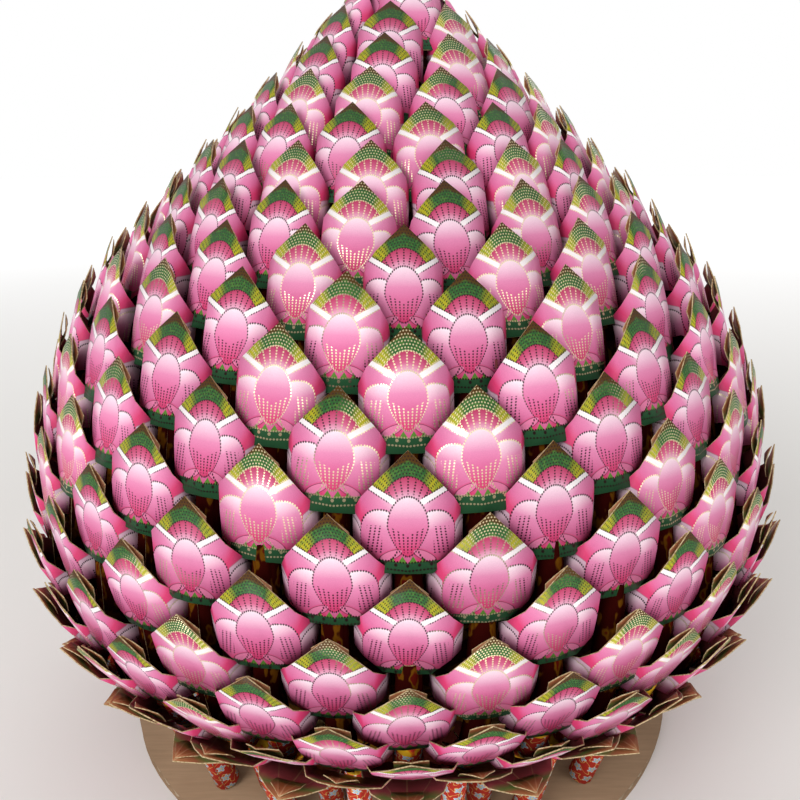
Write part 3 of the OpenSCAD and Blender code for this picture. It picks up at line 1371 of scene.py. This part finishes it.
    def ring(self, ring: int) -> tuple[Shell, np.ndarray]:
        """All petals of a ring in place, each a little off by hand.

        Args:
            ring: number of the ring from 0.

        Returns:
            The petals as one shell, and a tone per point.
        """
        one = Shell.join([self.sheet(ring), self.inner_ply(ring)])
        rng = np.random.default_rng(self.seed + ring)
        angles = self.layout.angles(ring)
        n = len(angles)
        scatter = rng.normal(0, 1, (n, 5)).clip(-self.most_scatter, self.most_scatter)
        crowd = 0.7 + 0.3 * self.layout.crowding(ring)
        nod, twist, tilt = self.hand_turns
        lean = self.layout.lean(ring) + scatter[:, 0] * nod
        own = turned(Axis.Z, scatter[:, 1] * twist * crowd) @ turned(Axis.Y, scatter[:, 2] * tilt * crowd)
        r, z = self.layout.tip(ring)
        if ring == 0:
            out, down, more_lean = self.droop
            r, z, lean = r + out, z + down, lean + more_lean
        spin = turned(Axis.Z, angles)
        slip_x, slip_y = self.hand_slips
        place = np.stack([scatter[:, 3] * slip_x, scatter[:, 4] * slip_y - r, np.full(n, z)], -1)
        moves = np.einsum("nij,nj->ni", spin, place)
        tones = np.repeat(rng.random(n), len(one.points))
        return one.repeated(spin @ turned(Axis.X, lean) @ own, moves), tones

    def build(self) -> None:
        """Make one piece for each ring."""
        for i in range(self.layout.rings):
            shell, tones = self.ring(i)
            name = f"petals_{i + 1:02d}"
            piece = build_piece("paper_" + name, shell, self.finishes, tones)
            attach(piece, "root")
            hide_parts(name)
            LOG.info("%s: %d petals", piece.name, self.layout.count(i))


@dataclass
class Sleeves:
    """All rings of rolled sleeves; sizes in mm, angles in degrees."""

    layout: Layout
    sides: int = 14
    overlap: float = 0.55
    step: float = 0.45
    wall: float = 0.4
    print_r: float = 6.0
    seed: int = 91
    seam_turn: float = 22.0
    unshaded_sleeve_rings: int = 5
    finishes: list = field(default_factory=list)
    painted_shade_finishes: list = field(default_factory=list)

    def roll(self, ring: int) -> Shell:
        """One rolled sheet: a cone whose radius grows by a small step over its turn.

        The angle runs from the front seam once round and a little further. The radius is
        head + (foot - head) * t, with t the share of the way down, less what is left of the step.

        Args:
            ring: number of the ring from 0.

        Returns:
            The rolled sheet, standing at its foot.
        """
        lay = self.layout
        height = float(np.linalg.norm(lay.head(ring) - lay.foot(ring)))
        slim = lay.slim(ring)
        phi = np.linspace(0, 2 * math.pi + self.overlap, self.sides + 1)
        down = np.array([0.0, 1.0])[:, None]
        radius = (lay.sleeve_head_r + (lay.sleeve_foot_r - lay.sleeve_head_r) * down) * slim
        radius = radius - self.step * (1 - phi / phi[-1])
        heights = height * (1 - down) + 0 * phi
        front, back = (
            np.stack([np.sin(phi) * r, -np.cos(phi) * r, heights], -1) for r in (radius, radius - self.wall))
        flat = np.stack([(phi - math.pi) * self.print_r * slim + 0 * down, height * down + 0 * phi], -1)
        return Shell.of(front, back, flat, Face.PRINT, Face.INSIDE)

    def build(self) -> None:
        """Make one piece for each ring."""
        for i in range(self.layout.rings):
            one = self.roll(i)
            rng = np.random.default_rng(self.seed + i)
            angles = self.layout.angles(i)
            n = len(angles)
            r, z = self.layout.foot(i)
            own = turned(Axis.Z, rng.uniform(-self.seam_turn, self.seam_turn, n))
            spin = turned(Axis.Z, angles)
            turns = spin @ turned(Axis.X, np.full(n, self.layout.sleeve_lean(i))) @ own
            moves = np.einsum("nij,j->ni", spin, np.array([0.0, -r, z]))
            tones = np.repeat(rng.random(n), len(one.points))
            name = f"sleeves_{i + 1:02d}"
            # the upper rings take a copy of the print darkened to near black as painted shade
            finishes = self.finishes if i < self.unshaded_sleeve_rings else self.painted_shade_finishes
            piece = build_piece("paper_" + name, one.repeated(turns, moves), finishes, tones)
            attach(piece, "root")
            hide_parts(name)
            LOG.info("%s: %d sleeves", piece.name, n)


@dataclass
class Disc:
    """Corrugated card disc: two liners with a wavy core between them; sizes in mm."""

    layout: Layout
    liner: float = 0.6
    flute: float = 7.6
    core_inset: float = 1.2
    core_wall: float = 0.4
    core_gap: float = 0.25
    sides: int = 96
    bumps: float = 11.0
    roughness: float = 0.0016
    card: bpy.types.Material | None = None
    core: bpy.types.Material | None = None

    def liner_shell(self, low: float) -> Shell:
        """Round plate as two rings of points, the outer one with slight bumps.

        The radius is r * (1 - roughness * (1 + sin(bumps * angle))) on the outer ring.

        Args:
            low: height of its lower face.

        Returns:
            The plate.
        """
        phi = np.linspace(0, 2 * math.pi, self.sides + 1)
        r = np.array([self.layout.disc_r, 0.5])[:, None]
        out = r * (1 - self.roughness * (1 + np.sin(phi * self.bumps + low)) * (r > 1))
        top = np.stack([-np.sin(phi) * out, -np.cos(phi) * out, np.full(out.shape, low + self.liner)], -1)
        under = top - np.array([0, 0, self.liner])
        flat = np.stack([phi + 0 * r, r + 0 * phi], -1)
        shell = Shell.of(top[::-1], under[::-1], flat, Face.PRINT, Face.PRINT)
        shell.finish[:] = 0
        return shell

    def core_shell(self) -> Shell:
        """Wavy sheet: height = middle + half * sin(2 pi x / flute), cut to the disc's outline.

        Returns:
            The wavy sheet.
        """
        reach = self.layout.disc_r - self.core_inset
        x = np.linspace(-reach, reach, int(2 * reach / self.flute) * 6 + 1)
        half = np.sqrt(np.maximum(reach ** 2 - x ** 2, 1.0))
        middle = self.layout.disc_t / 2
        swing = middle - self.liner - self.core_gap
        z = middle + swing * np.sin(2 * math.pi * x / self.flute)
        y = np.array([1.0, -1.0])[:, None] * half
        top = np.stack([x + 0 * y, y, z + self.core_wall / 2 + 0 * y], -1)
        under = top - np.array([0, 0, self.core_wall])
        flat = np.stack([x + 0 * y, y], -1)
        shell = Shell.of(top, under, flat, Face.PRINT, Face.PRINT)
        shell.finish[:] = 1
        return shell

    def build(self) -> None:
        """Make the disc in place of the plain node."""
        top = self.layout.disc_t - self.liner
        shell = Shell.join([self.liner_shell(top), self.core_shell(), self.liner_shell(0.0)])
        piece = build_piece("corrugated_disc", shell, [self.card, self.core])
        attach(piece, "root")
        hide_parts("base_disc")
        LOG.info("%s: %d faces", piece.name, len(shell.quads))


# stage


def linked(name: str, data: bpy.types.ID) -> bpy.types.Object:
    """Put new data into the scene.

    Args:
        name: name of the object.
        data: its mesh, lamp or camera.

    Returns:
        The object.
    """
    made = bpy.data.objects.new(name, data)
    bpy.context.scene.collection.objects.link(made)
    return made


@dataclass(frozen=True)
class Lamp:
    """A soft square lamp; place and size in metres, power in watts."""

    name: str
    place: tuple
    size: float
    power: float

    def build(self, aim: tuple) -> None:
        """Set the lamp up so that it looks at a point.

        Args:
            aim: the point in metres.
        """
        data = bpy.data.lights.new(self.name, "AREA")
        data.size, data.energy = self.size, self.power
        made = linked(self.name, data)
        made.location = self.place
        away = Vector(self.place) - Vector(aim)
        made.rotation_mode = "QUATERNION"
        made.rotation_quaternion = away.to_track_quat("Z", "Y")


@dataclass(frozen=True)
class Studio:
    """Camera of the photograph, pale floor and soft light; metres and degrees."""

    camera_place: tuple = (0.0, -0.450, 0.345)
    pitch: float = 19.12
    yaw: float = -0.07
    roll: float = 0.20
    lens: float = 34.65
    sensor: float = 36.0
    floor_half: float = 6.0
    floor_fade: tuple = (0.45, 2.2)
    floor_colour: tuple = (0.80, 0.79, 0.77)
    black: tuple = (0.0, 0.0, 0.0)
    white: tuple = (1.0, 1.0, 1.0)
    daylight: tuple = (1.0, 0.98, 0.96)
    daylight_power: float = 0.57
    aim: tuple = (0.0, 0.0, 0.2)
    lamps: tuple = (
        Lamp("key", (-1.2, -1.6, 1.2), 1.0, 28.0),
        Lamp("fill", (1.5, -1.2, 0.9), 1.2, 6.0),
        Lamp("front", (0.0, -1.9, 0.3), 1.0, 7.5),
        Lamp("rear", (0.3, 1.9, 1.2), 1.4, 10.0))

    def camera(self) -> None:
        """Place the camera that the photo's perspective gives."""
        data = bpy.data.cameras.new("view")
        data.lens, data.sensor_width, data.sensor_fit = self.lens, self.sensor, "HORIZONTAL"
        data.clip_start = 0.01
        made = linked("view", data)
        made.location = self.camera_place
        made.rotation_euler = [math.radians(v) for v in (90 - self.pitch, self.roll, self.yaw)]
        bpy.context.scene.camera = made

    def floor(self) -> None:
        """Pale floor that fades into white light with the distance from the middle."""
        mesh = bpy.data.meshes.new("floor")
        signs = ((-1, -1), (1, -1), (1, 1), (-1, 1))
        corners = [(x * self.floor_half, y * self.floor_half, 0) for x, y in signs]
        mesh.from_pydata(corners, [], [(0, 1, 2, 3)])
        made = linked("floor", mesh)
        t = Tree.paint("floor_paint")
        split = t.node("ShaderNodeSeparateXYZ", {}, (t.object_place(),))
        far = distance(Value(t, split.outputs[0]), Value(t, split.outputs[1])).ramp(*self.floor_fade)
        colour = t.mix(far, self.floor_colour, self.black)
        glow = t.mix(far, self.black, self.white)
        mesh.materials.append(t.finish(colour, 0.9, Emission_Color=glow, Emission_Strength=1.0))

    def world(self) -> None:
        """White to the camera, in reflections and through glass, soft daylight on surfaces."""
        bpy.context.scene.world = bpy.data.worlds.new("studio")
        t = Tree(bpy.context.scene.world)
        rays = t.node("ShaderNodeLightPath").outputs
        seen = [Value(t, rays[f"Is {kind} Ray"]) for kind in ("Camera", "Glossy", "Transmission")]
        ground = t.nodes["Background"]
        t.put(ground.inputs["Color"], self.daylight)
        t.put(ground.inputs["Strength"], self.daylight_power)
        white = t.node("ShaderNodeBackground", {}, {"Color": self.white})
        mix = t.node("ShaderNodeMixShader", {}, (most(seen), ground.outputs[0], white.outputs[0]))
        t.put(t.nodes["World Output"].inputs["Surface"], mix.outputs[0])

    def build(self) -> None:
        """Set the stage."""
        bpy.context.scene.view_settings.view_transform = "Standard"
        self.camera()
        self.floor()
        self.world()
        for lamp in self.lamps:
            lamp.build(self.aim)


def main() -> None:
    """Build the tower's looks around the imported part."""
    logging.basicConfig(level=logging.INFO, format="%(message)s")
    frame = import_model()
    layout = Layout()
    Studio().build()
    edge = CutEdge().material()
    Petals(layout, finishes=[LotusPrint().material(), FoilInside().material(), edge]).build()
    inside = PlainInside().material()
    # the upper sleeves' copy of the print: yellow ground, flames and red all darkened to near black as
    # painted shade deep between the petals
    yellow_in_painted_shade, flame, wine = (0.026, 0.0022, 0.0016), (0.115, 0.042, 0.003), (0.075, 0.005, 0.003)
    dark = SleevePrint("sleeve_painted_shade", yellow_in_painted_shade, flame, wine, sheen=0.0, band_top=90.0).material()
    pale = SleevePrint().material()
    Sleeves(layout, finishes=[pale, inside, edge], painted_shade_finishes=[dark, inside, edge]).build()
    card = Card("disc_card").material()
    core = Card("flute_card", (0.46, 0.36, 0.25), (0.30, 0.22, 0.14)).material()
    Disc(layout, card=card, core=core).build()
    former = frame["nodes"]["inner_former"]
    former.data.materials.clear()
    former.data.materials.append(FormerWrap().material())
    LOG.info("%s: wrapped", former.name)


if __name__ == "__main__":
    main()
